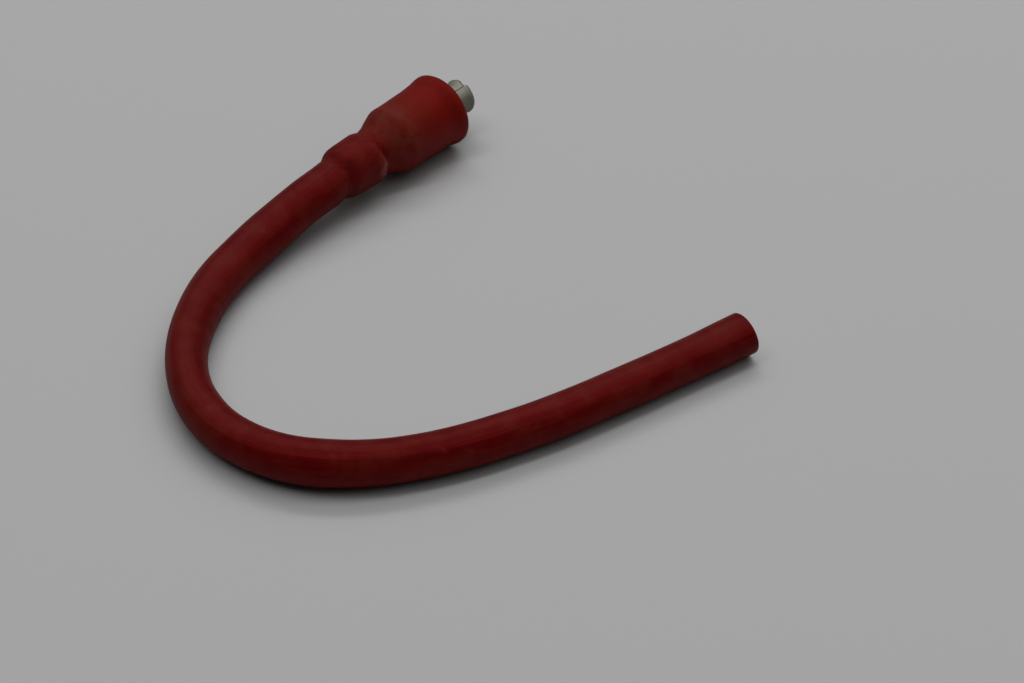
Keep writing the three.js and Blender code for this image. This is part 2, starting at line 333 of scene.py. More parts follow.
def makeJacketSilicone():
    # Extruded silicone: a satin skin with faint lengthwise die lines, handled and a little dusty,
    # so the highlight is broad and slightly broken.
    material, tree = newMaterial("extrudedRedSilicone")
    place = addNode(tree, "ShaderNodeAttribute", attribute_name="cablePlace").outputs["Vector"]
    lengthwise = addNode(tree, "ShaderNodeMapping", {"Vector": place, "Scale": (1, 1, 0.025)})
    dieLines = addNode(tree, "ShaderNodeTexNoise", {
        "Vector": lengthwise.outputs[0], "Scale": 1 / (cable["dieLine"] * mm), "Detail": 4})
    blotch = addNode(tree, "ShaderNodeTexNoise", {
        "Vector": place, "Scale": 1 / (cable["blotch"] * mm), "Detail": 5, "Roughness": 0.65})
    specks = addNode(tree, "ShaderNodeTexNoise", {
        "Vector": place, "Scale": 1 / (cable["speck"] * mm), "Detail": 2})
    # painted shade and light: darker red in the die lines' grooves, lighter on their ridges
    red = addNode(tree, "ShaderNodeValToRGB", {"Fac": dieLines.outputs[0]}, cable["reds"])
    dustAmount = addNode(tree, "ShaderNodeValToRGB", {"Fac": blotch.outputs[0]}, [
        (0.42, 0), (0.5, 0.22), (0.6, 0.6)])
    dusty = addNode(tree, "ShaderNodeMix", {
        "Factor": dustAmount.outputs[0], "A": red.outputs[0], "B": cable["dust"]},
        data_type="RGBA")
    apart = addNode(tree, "ShaderNodeSeparateXYZ", {0: place})
    crosswise = addNode(tree, "ShaderNodeMapping", {   # small creases on the inside of the bend
        "Vector": place, "Scale": (0.22, 0.22, 1)})
    waves = addNode(tree, "ShaderNodeTexNoise", {
        "Vector": crosswise.outputs[0], "Scale": 1 / (cable["creaseStep"] * mm), "Detail": 3})
    sharper = addNode(tree, "ShaderNodeMapRange", {
        "Value": waves.outputs[0], "From Min": 0.36, "From Max": 0.64})
    alongBend = addNode(tree, "ShaderNodeMapRange", {
        "Value": apart.outputs["Z"], "From Min": cable["creased"][0] * mm,
        "From Max": cable["creased"][1] * mm})
    inBend = addNode(tree, "ShaderNodeValToRGB", {"Fac": alongBend.outputs[0]}, [
        (0.0, 0), (0.3, 1), (0.65, 1), (1.0, 0)])
    inSide = addNode(tree, "ShaderNodeMapRange", {
        "Value": apart.outputs["X"], "From Min": 0.6 * mm, "From Max": -1.8 * mm})
    creased = addNode(tree, "ShaderNodeMath", {0: inBend.outputs[0], 1: inSide.outputs[0]},
                      operation="MULTIPLY")
    creases = addNode(tree, "ShaderNodeMath", {0: sharper.outputs[0], 1: creased.outputs[0]},
                      operation="MULTIPLY")
    shaded = addNode(tree, "ShaderNodeMix", {
        "Factor": addNode(tree, "ShaderNodeMath", {0: creases.outputs[0], 1: 0.55},
                          operation="MULTIPLY").outputs[0],
        "A": dusty.outputs["Result"], "B": cable["shade"]}, data_type="RGBA")
    speckAmount = addNode(tree, "ShaderNodeValToRGB", {"Fac": specks.outputs[0]}, [
        (0.7, 0), (0.8, 0.3)])
    worn = speckAmount.outputs[0]
    for across, above, along, reach in cable["scuffs"]:
        spot = addNode(tree, "ShaderNodeVectorMath", {
            0: place, 1: (across * mm, above * mm, along * mm)}, operation="DISTANCE")
        inside = addNode(tree, "ShaderNodeMapRange", {
            "Value": spot.outputs["Value"], "From Min": reach * mm, "From Max": 0,
            "To Max": 1.6})
        broken = addNode(tree, "ShaderNodeMath", {
            0: inside.outputs[0], 1: specks.outputs[0]}, operation="MULTIPLY")
        hard = addNode(tree, "ShaderNodeMapRange", {
            "Value": broken.outputs[0], "From Min": 0.42, "From Max": 0.62, "To Max": 0.7})
        worn = addNode(tree, "ShaderNodeMath", {0: worn, 1: hard.outputs[0]},
                       operation="MAXIMUM").outputs[0]
    marked = addNode(tree, "ShaderNodeMix", {
        "Factor": worn, "A": shaded.outputs["Result"], "B": cable["scuffed"]},
        data_type="RGBA")
    grain = addNode(tree, "ShaderNodeTexNoise", {
        "Vector": place, "Scale": 1 / (cable["grain"] * mm), "Detail": 2})
    bumpLines = addNode(tree, "ShaderNodeBump", {
        "Height": dieLines.outputs[0], "Strength": 0.8, "Distance": 0.09 * mm})
    bumpCreases = addNode(tree, "ShaderNodeBump", {
        "Height": creases.outputs[0], "Strength": 0.8, "Distance": -0.08 * mm,
        "Normal": bumpLines.outputs[0]})
    bump = addNode(tree, "ShaderNodeBump", {
        "Height": grain.outputs[0], "Strength": 0.3, "Distance": 0.02 * mm,
        "Normal": bumpCreases.outputs[0]})
    rough = addNode(tree, "ShaderNodeMapRange", {
        "Value": blotch.outputs[0], "From Min": 0.3, "From Max": 0.7,
        "To Min": cable["roughness"][0], "To Max": cable["roughness"][1]})
    shader = addNode(tree, "ShaderNodeBsdfPrincipled", {
        "Base Color": marked.outputs["Result"], "Roughness": rough.outputs[0],
        "IOR": siliconeIor, "Specular IOR Level": 0.36, "Specular Tint": "#ff6262",
        "Sheen Weight": 0.1, "Sheen Roughness": 0.4, "Sheen Tint": "#d02018",
        "Normal": bump.outputs[0]})
    addNode(tree, "ShaderNodeOutputMaterial", {"Surface": shader.outputs[0]})
    return material


# What lies in the cable, from outside to inside.
layers = {
    "jacket": (4.0, 3.08),       # mm, outer and inner radius
    "braid": (3.06, 2.58),
    "insulation": (2.56, 1.16),
    "core": (1.14, 0),
    "coreStub": 3.4,             # mm bared for the terminal
    "hiddenStep": 2.0,           # mm between rings, for the layers inside
    "bundles": 12,               # of yarn, each way round
    "bundleTurn": 14,            # mm along the cable for one turn of a bundle
    "strand": 0.12,              # mm, of glass
    "yarn": [(0.3, "#7d7565"), (0.5, "#a49c89"), (0.72, "#c2bba9")],
    "greys": ("#5f5d5a", "#74726e"),   # the inner silicone, with its blotches and knife marks
    "greyBlotch": 1.5,           # mm
    "knifeMark": 0.14,           # mm
    "winding": 0.24,             # mm between turns of the wire on the core
    "fibre": 0.11,               # mm
    "strandBlacks": [(0.1, "#3d3a35"), (0.5, "#262421"), (0.9, "#141312")],
}


def makeGlassBraid():
    # Braided glass yarn: off-white bundles crossing both ways, dry and matt. Its strands are drawn
    # far coarser than real ones, so that they show.
    material, tree = newMaterial("braidedGlassYarn")
    place = addNode(tree, "ShaderNodeAttribute", attribute_name="cablePlace").outputs["Vector"]
    apart = addNode(tree, "ShaderNodeSeparateXYZ", {0: place})
    turn = addNode(tree, "ShaderNodeMath", {0: apart.outputs["Y"], 1: apart.outputs["X"]},
                   operation="ARCTAN2")
    bundles = []
    for hand in (1, -1):   # both ways round
        phase = addNode(tree, "ShaderNodeMath", {
            0: apart.outputs["Z"], 1: hand * 2 * math.pi / (layers["bundleTurn"] * mm),
            2: turn.outputs[0]}, operation="MULTIPLY_ADD")
        many = addNode(tree, "ShaderNodeMath", {0: phase.outputs[0], 1: layers["bundles"]},
                       operation="MULTIPLY")
        bundles.append(addNode(tree, "ShaderNodeMath", {0: many.outputs[0]}, operation="SINE"))
    weave = addNode(tree, "ShaderNodeMath", {
        0: bundles[0].outputs[0], 1: bundles[1].outputs[0]}, operation="MAXIMUM")
    strands = addNode(tree, "ShaderNodeTexNoise", {
        "Vector": place, "Scale": 1 / (layers["strand"] * mm), "Detail": 3})
    height = addNode(tree, "ShaderNodeMath", {
        0: strands.outputs[0], 1: 0.6, 2: weave.outputs[0]}, operation="MULTIPLY_ADD")
    colour = addNode(tree, "ShaderNodeValToRGB", {"Fac": strands.outputs[0]}, layers["yarn"])
    bump = addNode(tree, "ShaderNodeBump", {
        "Height": height.outputs[0], "Strength": 0.8, "Distance": 0.08 * mm})
    shader = addNode(tree, "ShaderNodeBsdfPrincipled", {
        "Base Color": colour.outputs[0], "Roughness": 0.75, "IOR": 1.5,
        "Normal": bump.outputs[0]})
    addNode(tree, "ShaderNodeOutputMaterial", {"Surface": shader.outputs[0]})
    return material


def makeGreySilicone():
    # Inner insulation: pale grey silicone, sliced clean at the end, with faint knife drag.
    material, tree = newMaterial("greySilicone")
    place = addNode(tree, "ShaderNodeAttribute", attribute_name="cablePlace").outputs["Vector"]
    dragged = addNode(tree, "ShaderNodeMapping", {"Vector": place, "Scale": (0.06, 1, 1)})
    drag = addNode(tree, "ShaderNodeTexNoise", {
        "Vector": dragged.outputs[0], "Scale": 1 / (layers["knifeMark"] * mm), "Detail": 3})
    blotch = addNode(tree, "ShaderNodeTexNoise", {
        "Vector": place, "Scale": 1 / (layers["greyBlotch"] * mm), "Detail": 4})
    colour = addNode(tree, "ShaderNodeMix", {
        "Factor": blotch.outputs[0], "A": layers["greys"][0], "B": layers["greys"][1]},
        data_type="RGBA")
    bump = addNode(tree, "ShaderNodeBump", {
        "Height": drag.outputs[0], "Strength": 0.6, "Distance": 0.04 * mm})
    rough = addNode(tree, "ShaderNodeMapRange", {
        "Value": drag.outputs[0], "From Min": 0.3, "From Max": 0.7, "To Min": 0.45,
        "To Max": 0.62})
    shader = addNode(tree, "ShaderNodeBsdfPrincipled", {
        "Base Color": colour.outputs["Result"], "Roughness": rough.outputs[0],
        "IOR": siliconeIor, "Normal": bump.outputs[0]})
    addNode(tree, "ShaderNodeOutputMaterial", {"Surface": shader.outputs[0]})
    return material


def makeWoundCore():
    # Aramid strand loaded with carbon and wound with fine resistance wire: nearly black, with a
    # dull ridge for each turn of the wire and loose fibre ends, drawn coarse, where it is cut.
    material, tree = newMaterial("carbonLoadedStrand")
    place = addNode(tree, "ShaderNodeAttribute", attribute_name="cablePlace").outputs["Vector"]
    apart = addNode(tree, "ShaderNodeSeparateXYZ", {0: place})
    turn = addNode(tree, "ShaderNodeMath", {
        0: apart.outputs["Z"], 1: 2 * math.pi / (layers["winding"] * mm)}, operation="MULTIPLY")
    winding = addNode(tree, "ShaderNodeMath", {0: turn.outputs[0]}, operation="SINE")
    fibres = addNode(tree, "ShaderNodeTexVoronoi", {
        "Vector": place, "Scale": 1 / (layers["fibre"] * mm)})
    height = addNode(tree, "ShaderNodeMath", {
        0: fibres.outputs["Distance"], 1: 0.5, 2: winding.outputs[0]}, operation="MULTIPLY_ADD")
    colour = addNode(tree, "ShaderNodeValToRGB", {
        "Fac": fibres.outputs["Distance"]}, layers["strandBlacks"])
    bump = addNode(tree, "ShaderNodeBump", {
        "Height": height.outputs[0], "Strength": 0.8, "Distance": 0.05 * mm})
    shader = addNode(tree, "ShaderNodeBsdfPrincipled", {
        "Base Color": colour.outputs[0], "Roughness": 0.55, "Normal": bump.outputs[0]})
    addNode(tree, "ShaderNodeOutputMaterial", {"Surface": shader.outputs[0]})
    return material


wireJacket, jacketPath = sweptLayer("wireJacket", *layers["jacket"], 72, cable["ringStep"],
                                    lump=cable["lump"])
wireBraid, _ = sweptLayer("wireBraid", *layers["braid"], 48, layers["hiddenStep"])
wireInsulation, _ = sweptLayer("wireInsulation", *layers["insulation"], 48, layers["hiddenStep"])
wireCore, _ = sweptLayer("wireCore", *layers["core"], 32, layers["hiddenStep"],
                         stub=layers["coreStub"])

cableNodes = (
    (wireJacket, "wire_jacket", "jacket_silicone", makeJacketSilicone),
    (wireBraid, "glass_braid", "glass_fibre", makeGlassBraid),
    (wireInsulation, "inner_insulation", "grey_silicone", makeGreySilicone),
    (wireCore, "conductor_core", "wound_core", makeWoundCore),
)
for piece, node, slot, makeMaterial in cableNodes:
    piece.data.materials.append(makeMaterial())
    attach(piece, "root")
    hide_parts(node)
say(f"cable swept, {cableLength:.1f} mm long")

# The boot: one ring extruded and resized along its profile, out and back through the bore.
boot = {
    "sides": 96,
    "unevenSize": 5,     # mm, the slow unevenness of its skin
    "unevenDepth": 0.14,
    # places pulled out of round: place in the frame, move and reach, in mm
    "pulls": [
        ((-8.6, -5.1, 8.2), (0.26, -0.14, 0.0), 2.6),     # the lip laps over the crease
        ((-16.2, -3.9, 10.4), (0.3, 0.34, -0.22), 3.2),   # a hollow behind the mouth of the collar
        ((-7.9, -4.3, 9.2), (-0.1, 0.3, -0.1), 1.5),      # the crease is deepest on the near side
        ((-17.2, -2.9, 4.2), (-0.5, -0.1, -0.1), 3.2),    # the mouth drawn back under the cable
        ((-12.6, -4.6, 4.6), (0, -0.12, -0.08), 3.5),     # a swelling low on the collar
        ((11.7, 3.0, 14.0), (-0.4, 0, 0), 8.0),           # the lip stands back on the far side
        ((9.0, -6.0, 3.3), (0, 0.32, 0.23), 2.7),         # a hollow low behind the lip, near side
    ],
    "back": cable["bootBack"],
    "axis": 7.5,         # mm above the bench
    # mm along the axis, radius, and how far the ring sits off the axis towards -Y and down
    "outside": [
        (-0.6, 4.16, 0.22, 0.2), (-0.25, 4.21, 0.215, 0.19), (0.1, 4.28, 0.21, 0.18),
        (0.4, 4.38, 0.2, 0.16), (0.7, 4.51, 0.19, 0.14), (1.0, 4.66, 0.17, 0.12),
        (1.3, 4.81, 0.15, 0.1), (1.65, 4.96, 0.13, 0.08), (2.05, 5.08, 0.12, 0.06),
        (2.5, 5.16, 0.11, 0.05), (3.0, 5.2, 0.1, 0.05),
        (3.8, 5.23, 0.1, 0.05), (5.0, 5.27, 0.1, 0.06), (6.2, 5.32, 0.11, 0.08),
        (7.2, 5.37, 0.13, 0.1), (7.9, 5.38, 0.15, 0.12), (8.35, 5.34, 0.17, 0.14),
        (8.7, 5.24, 0.18, 0.15), (8.98, 5.08, 0.18, 0.15), (9.16, 4.9, 0.15, 0.12),
        (9.2, 4.76, 0.1, 0.08), (9.14, 4.62, 0.02, 0.02), (9.12, 4.52, -0.05, -0.03),
        (9.22, 4.46, -0.07, -0.05), (9.42, 4.47, -0.07, -0.05), (9.68, 4.56, -0.04, -0.03),
        (9.98, 4.68, -0.01, -0.01), (10.3, 4.79, 0, 0), (10.75, 4.88, 0.01, 0),
        (11.3, 5.02, 0.02, 0), (11.8, 5.21, 0.03, 0), (12.3, 5.44, 0.05, 0),
        (12.8, 5.68, 0.06, 0), (13.3, 5.91, 0.07, 0), (13.8, 6.13, 0.08, 0),
        (14.3, 6.36, 0.1, 0), (14.75, 6.56, 0.11, 0), (15.1, 6.71, 0.12, 0),
        (15.4, 6.8, 0.13, 0), (15.75, 6.83, 0.14, 0), (16.3, 6.82, 0.15, 0),
        (17.2, 6.8, 0.16, 0), (18.0, 6.81, 0.17, 0), (19.0, 6.84, 0.18, 0), (20.0, 6.88, 0.19, 0),
        (21.0, 6.9, 0.18, 0), (22.0, 6.91, 0.17, 0), (23.0, 6.91, 0.15, 0), (24.0, 6.92, 0.12, 0),
        (24.8, 6.94, 0.1, 0), (25.5, 6.98, 0.09, 0), (26.1, 7.04, 0.1, 0), (26.7, 7.14, 0.13, 0),
        (27.2, 7.26, 0.17, 0), (27.6, 7.37, 0.21, 0), (28.0, 7.45, 0.24, 0), (28.4, 7.5, 0.26, 0),
        (28.8, 7.49, 0.27, 0), (29.1, 7.41, 0.27, 0), (29.3, 7.26, 0.27, 0), (29.4, 7.06, 0.26, 0),
    ],
    "inside": [
        (29.4, 6.4, 0.2, 0), (29.4, 5.8, 0.12, 0), (29.34, 5.64, 0.08, 0), (29.2, 5.54, 0.05, 0),
        (28.9, 5.5, 0.03, 0), (26.0, 5.45, 0, 0), (22.0, 5.36, 0, 0), (18.0, 5.28, 0, 0),
        (16.3, 5.25, 0, 0), (16.1, 5.2, 0, 0), (15.6, 4.95, 0, 0), (14.2, 4.34, 0, 0),
        (13.8, 4.3, 0, 0), (10.0, 4.26, 0, 0), (5.0, 4.22, 0.04, 0.04), (1.5, 4.2, 0.14, 0.13),
        (0.5, 4.19, 0.18, 0.16), (-0.3, 4.13, 0.2, 0.18),
    ],
    # the clean red, from back face to lip, and what lies on it
    "reds": [(0.0, "#520909"), (0.1, "#560a0a"), (0.3, "#590a09"), (0.45, "#5b0c07"),
             (0.8, "#640d06"), (1.0, "#620c06")],
    "dust": "#5e2b21",
    "dustAlong": [(0.0, 0.3), (0.08, 0.25), (0.28, 0.3), (0.36, 0.7), (0.52, 1.0), (0.62, 0.4),
                  (0.8, 0.05), (1.0, 0.2)],
    "laidOver": 30,                   # mm, the length that these two are laid over
    # painted shade: the collar's red darkened in the hollows of the lumps that the blotches raise
    "lumpHollowShade": "#440507",
    # the pale crescent on the collar's lip: partly rubbed wear, partly a painted highlight where
    # the rim catches the light
    "rubbedLitRim": "#824943",
    "rubbedLitRimAt": (-8.8, -5.0, 7.2),    # mm in the frame, the middle of the pale crescent
    "rubbedLitRimReach": (3.7, 0.8),        # mm, where it starts and where it is full
    # sizes of the skin's patterns, mm
    "blotch": 3.0,
    "fleck": 0.9,
    "grain": 0.3,
    "roughness": (0.46, 0.7),         # clean and dusty
}


def turnOut(name, rings, sides):
    # a circle extruded ring by ring along X, each ring resized and set off the axis, then closed
    back, axis = boot["back"], boot["axis"]
    x, radius, near, down = rings[0]
    selectOnly()
    bpy.ops.mesh.primitive_circle_add(vertices=sides, radius=radius * mm, fill_type="NOTHING",
                                      location=((back + x) * mm, -near * mm, (axis - down) * mm),
                                      rotation=(0, math.pi / 2, 0))
    piece = bpy.context.object
    piece.name = piece.data.name = name
    bpy.ops.object.transform_apply(location=True, rotation=True, scale=True)
    bpy.ops.object.mode_set(mode="EDIT")
    bpy.ops.mesh.select_all(action="SELECT")
    for (x0, r0, n0, d0), (x1, r1, n1, d1) in zip(rings, rings[1:]):
        step = ((x1 - x0) * mm, -(n1 - n0) * mm, -(d1 - d0) * mm)
        bpy.ops.mesh.extrude_region_move(TRANSFORM_OT_translate={"value": step})
        bpy.ops.transform.resize(value=(1, r1 / r0, r1 / r0),
                                 center_override=((back + x1) * mm, -n1 * mm, (axis - d1) * mm))
    return piece


def finishShell(piece):  # ends joined, faces turned outward
    bpy.ops.mesh.select_all(action="SELECT")
    bpy.ops.mesh.remove_doubles(threshold=0.004 * mm)
    bpy.ops.mesh.normals_make_consistent(inside=False)
    bpy.ops.object.mode_set(mode="OBJECT")
    bpy.ops.object.shade_smooth_by_angle(angle=smoothAngle)
    return piece


def applyModifier(piece, kind, **settings):
    modifier = piece.modifiers.new(kind.lower(), kind)
    for name, value in settings.items():
        setattr(modifier, name, value)
    bpy.context.view_layer.objects.active = piece
    bpy.ops.object.modifier_apply(modifier=modifier.name)


def roughen(piece, chosen, size, depth):  # the uneven skin of a moulding, on the chosen vertices
    group = piece.vertex_groups.new(name="uneven")
    group.add(chosen, 1.0, "REPLACE")
    texture = bpy.data.textures.new("unevenSkin", "CLOUDS")
    texture.noise_scale = size * mm
    applyModifier(piece, "DISPLACE", texture=texture, strength=depth * mm, mid_level=0.5,
                  vertex_group="uneven")
    bpy.data.textures.remove(texture)
    piece.vertex_groups.clear()


def pull(piece, place, move, size):
    # the vertex nearest to a place is moved and its surroundings follow softly, all in mm
    nearest = min(piece.data.vertices, key=lambda v: (v.co - Vector(place) * mm).length)
    index = nearest.index
    selectOnly(piece)
    bpy.ops.object.mode_set(mode="EDIT")
    bpy.ops.mesh.select_mode(type="VERT")
    bpy.ops.mesh.select_all(action="DESELECT")
    bpy.ops.object.mode_set(mode="OBJECT")
    piece.data.vertices[index].select = True
    bpy.ops.object.mode_set(mode="EDIT")
    bpy.ops.transform.translate(value=[c * mm for c in move], use_proportional_edit=True,
                                proportional_edit_falloff="SMOOTH", use_proportional_connected=True,
                                proportional_size=size * mm)
    bpy.ops.object.mode_set(mode="OBJECT")


def makeBoot():
    rings = boot["outside"] + boot["inside"] + [boot["outside"][0]]
    piece = finishShell(turnOut("bootShell", rings, boot["sides"]))
    outX, outR = zip(*[row[:2] for row in boot["outside"]])
    inX, inR = zip(*sorted(row[:2] for row in boot["inside"]))
    chosen = []   # the outer skin, from just past the back face on
    for vertex in piece.data.vertices:
        x = vertex.co.x / mm - boot["back"]
        r = math.hypot(vertex.co.y, vertex.co.z - boot["axis"] * mm) / mm
        if x > 0.3 and r > (np.interp(x, outX, outR) + np.interp(x, inX, inR)) / 2:
            chosen.append(vertex.index)
    roughen(piece, chosen, boot["unevenSize"], boot["unevenDepth"])
    for place, move, size in boot["pulls"]:
        pull(piece, place, move, size)
    selectOnly(piece)
    bpy.ops.object.shade_smooth_by_angle(angle=smoothAngle)
    return piece


def makeBootSilicone():
    # Moulded silicone: a matt skin, dusty on the cone and shoulder, cleaner and more orange by the
    # lip, with painted shade in the hollows of the collar's lumps, and a pale crescent on the
    # collar's lip that is partly rubbed wear and partly a painted highlight where its rim catches
    # the light.
    material, tree = newMaterial("mouldedRedSilicone")
    place = addNode(tree, "ShaderNodeTexCoord").outputs["Object"]
    blotch = addNode(tree, "ShaderNodeTexNoise", {
        "Vector": place, "Scale": 1 / (boot["blotch"] * mm), "Detail": 6, "Roughness": 0.75})
    apart = addNode(tree, "ShaderNodeSeparateXYZ", {0: place})
    along = addNode(tree, "ShaderNodeMapRange", {
        "Value": apart.outputs["X"], "From Min": boot["back"] * mm,
        "From Max": (boot["back"] + boot["laidOver"]) * mm})
    band = addNode(tree, "ShaderNodeValToRGB", {"Fac": along.outputs[0]}, boot["dustAlong"])
    patches = addNode(tree, "ShaderNodeMapRange", {
        "Value": blotch.outputs[0], "From Min": 0.36, "From Max": 0.64, "To Min": 0.2,
        "To Max": 1.0})
    settled = addNode(tree, "ShaderNodeMapRange", {   # dust lies on the upper side
        "Value": apart.outputs["Z"], "From Min": 5 * mm, "From Max": 12 * mm, "To Min": 0.12,
        "To Max": 1.0})
    patchedBand = addNode(tree, "ShaderNodeMath", {
        0: band.outputs[0], 1: patches.outputs[0]}, operation="MULTIPLY")
    dustAmount = addNode(tree, "ShaderNodeMath", {
        0: patchedBand.outputs[0], 1: settled.outputs[0]}, operation="MULTIPLY")
    clean = addNode(tree, "ShaderNodeValToRGB", {"Fac": along.outputs[0]}, boot["reds"])
    dusty = addNode(tree, "ShaderNodeMix", {
        "Factor": dustAmount.outputs[0], "A": clean.outputs[0], "B": boot["dust"]},
        data_type="RGBA")
    # painted shade, where the blotches that raise the lumps are low, in their hollows
    deeper = addNode(tree, "ShaderNodeMapRange", {
        "Value": blotch.outputs[0], "From Min": 0.5, "From Max": 0.4, "To Max": 0.42})
    onCollar = addNode(tree, "ShaderNodeValToRGB", {"Fac": along.outputs[0]}, [
        (0.0, 1), (0.3, 1), (0.38, 0.4), (0.6, 0.1)])
    hollowShadeAmount = addNode(tree, "ShaderNodeMath", {
        0: deeper.outputs[0], 1: onCollar.outputs[0]}, operation="MULTIPLY")
    hollowShaded = addNode(tree, "ShaderNodeMix", {   # painted shade: the collar's red darkened in the hollows of its lumps
        "Factor": hollowShadeAmount.outputs[0], "A": dusty.outputs["Result"], "B": boot["lumpHollowShade"]},
        data_type="RGBA")
    # painted highlight, partly rubbed wear: a pale crescent on the near side of the lip's rim
    x, y, z = boot["rubbedLitRimAt"]
    squashed = addNode(tree, "ShaderNodeMapping", {   # the crescent is half as wide as it is tall
        "Vector": place, "Scale": (2, 1, 1), "Location": (-2 * x * mm, -y * mm, -z * mm)})
    rubbedLitRim = addNode(tree, "ShaderNodeVectorMath", {0: squashed.outputs[0]}, operation="LENGTH")
    crescent = addNode(tree, "ShaderNodeMapRange", {
        "Value": rubbedLitRim.outputs["Value"], "From Min": boot["rubbedLitRimReach"][0] * mm,
        "From Max": boot["rubbedLitRimReach"][1] * mm})
    flecks = addNode(tree, "ShaderNodeTexNoise", {
        "Vector": place, "Scale": 1 / (boot["fleck"] * mm), "Detail": 3})
    broken = addNode(tree, "ShaderNodeMapRange", {
        "Value": flecks.outputs[0], "From Min": 0.4, "From Max": 0.6, "To Min": 0.2,
        "To Max": 0.9})
    crescentAmount = addNode(tree, "ShaderNodeMath", {
        0: crescent.outputs[0], 1: broken.outputs[0]}, operation="MULTIPLY")
    # the pale crescent laid on: partly rubbed wear, partly painted highlight
    worn = addNode(tree, "ShaderNodeMix", {
        "Factor": crescentAmount.outputs[0], "A": hollowShaded.outputs["Result"],
        "B": boot["rubbedLitRim"]}, data_type="RGBA")
    grain = addNode(tree, "ShaderNodeTexNoise", {
        "Vector": place, "Scale": 1 / (boot["grain"] * mm), "Detail": 2})
    lumps = addNode(tree, "ShaderNodeBump", {
        "Height": blotch.outputs[0], "Strength": 0.6, "Distance": 0.3 * mm})
    bump = addNode(tree, "ShaderNodeBump", {
        "Height": grain.outputs[0], "Strength": 0.4, "Distance": 0.03 * mm,
        "Normal": lumps.outputs[0]})
    rough = addNode(tree, "ShaderNodeMapRange", {
        "Value": dustAmount.outputs[0], "To Min": boot["roughness"][0],
        "To Max": boot["roughness"][1]})
    shader = addNode(tree, "ShaderNodeBsdfPrincipled", {
        "Base Color": worn.outputs["Result"], "Roughness": rough.outputs[0],
        "IOR": siliconeIor, "Specular IOR Level": 0.4, "Specular Tint": "#ff4a4a",
        "Normal": bump.outputs[0]})
    addNode(tree, "ShaderNodeOutputMaterial", {"Surface": shader.outputs[0]})
    return material


bootShell = makeBoot()
bootShell.data.materials.append(makeBootSilicone())
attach(bootShell, "root")
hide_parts("boot")
say("boot turned")

# The terminal: strip rolled into a barrel, an open channel and two grips.
terminal = {
    "sides": 96,
    "seamTurn": 23,       # degrees from the top towards -Y, where the barrel's seam is
    # mm along the boot's axis and radius, round the wall and back
    "barrel": [
        (25.1, 2.9), (25.1, 3.2), (25.14, 3.27), (25.22, 3.3), (27.0, 3.31), (29.0, 3.33),
        (31.0, 3.35), (33.5, 3.37), (33.75, 3.38), (33.93, 3.42), (34.08, 3.48), (34.25, 3.53),
        (34.4, 3.57), (34.58, 3.56), (34.78, 3.51), (34.96, 3.43), (35.12, 3.33), (35.23, 3.22),
        (35.28, 3.11), (35.26, 3.02), (35.18, 2.95), (35.04, 2.89), (34.8, 2.86), (34.5, 2.88),
        (34.3, 2.9), (33.9, 2.86), (33.5, 2.82), (31.0, 2.8), (28.0, 2.8), (25.22, 2.8),
        (25.13, 2.83),
    ],
    "lean": (0.02, 0.02),   # mm towards -Y and down per mm, over the barrel
    "leanFrom": 25.2,       # mm along the axis
    "channel": [
        (21.0, 4.34), (21.0, 4.78), (21.4, 4.8), (25.1, 3.3), (25.5, 3.29), (25.5, 2.81),
        (25.1, 2.8), (21.4, 4.32),
    ],
    "jacketGrip": [
        (16.4, 4.2), (16.4, 4.6), (16.46, 4.67), (16.55, 4.7), (18.9, 4.62), (21.25, 4.78),
        (21.36, 4.76), (21.4, 4.68), (21.4, 4.34), (21.3, 4.28), (18.9, 4.12), (16.5, 4.16),
    ],
    "coreGrip": [
        (22.1, 1.24), (22.1, 1.62), (22.16, 1.69), (22.25, 1.72), (23.95, 1.72), (24.04, 1.69),
        (24.1, 1.62), (24.1, 1.24), (24.0, 1.18), (22.2, 1.18),
    ],
    # blocks that cut or join them: mm from and to along the axis, width, from and to above it
    "seam": (24, 36, 0.16, 0.5, 5),
    "channelTop": (20, 25.1, 12, -0.4, 6),
    "jacketGripSlit": (16, 22, 0.16, 0.5, 6),
    "coreGripSlit": (22, 25, 0.4, 0.3, 3),
    "web": (22.1, 24.1, 0.9, -3.5, -1.5),
    "webFoot": 0.75,        # mm the web's back end reaches lower, as the channel's floor slopes
    "edgeRound": 0.05,      # mm
    "edgeAngle": 50,        # degrees, edges sharper than this are rounded
    "smoothAngle": 35,      # degrees
    # at the tip one corner of the seam is bent back and the other stands proud: mm, as above
    "pulls": [((17.7, -1.0, 10.8), (-0.42, 0.0, -0.16), 1.6),
              ((17.7, -1.75, 10.45), (0.05, -0.08, 0.0), 1.4)],
    "zinc": ("#8b887d", "#a8a596"),   # the two tones of its mottle
    "mottle": 1.2,          # mm
    "roughness": (0.45, 0.62),
}


def addBlock(lowX, highX, width, lowZ, highZ, turn=0.0):
    # a block on the boot's axis, turned about it; x from the boot's back face, z from the axis
    selectOnly()
    bpy.ops.mesh.primitive_cube_add(size=1)
    block = bpy.context.object
    block.scale = ((highX - lowX) * mm, width * mm, (highZ - lowZ) * mm)
    block.location = (((highX + lowX) / 2 + boot["back"]) * mm, 0, (lowZ + highZ) / 2 * mm)
    bpy.ops.object.transform_apply(location=True, rotation=True, scale=True)
    block.rotation_euler = (math.radians(turn), 0, 0)
    block.location = (0, 0, boot["axis"] * mm)
    bpy.ops.object.transform_apply(location=True, rotation=True, scale=True)
    return block


def combine(piece, other, operation):
    applyModifier(piece, "BOOLEAN", object=other, operation=operation, solver="EXACT")
    bpy.data.objects.remove(other)


def turnClosed(name, profile, lean=(0, 0)):  # a closed ring, leaning from where the barrel starts
    start = terminal["leanFrom"]
    rings = [(x, r, lean[0] * max(0, x - start), lean[1] * max(0, x - start)) for x, r in profile]
    return finishShell(turnOut(name, rings + [rings[0]], terminal["sides"]))


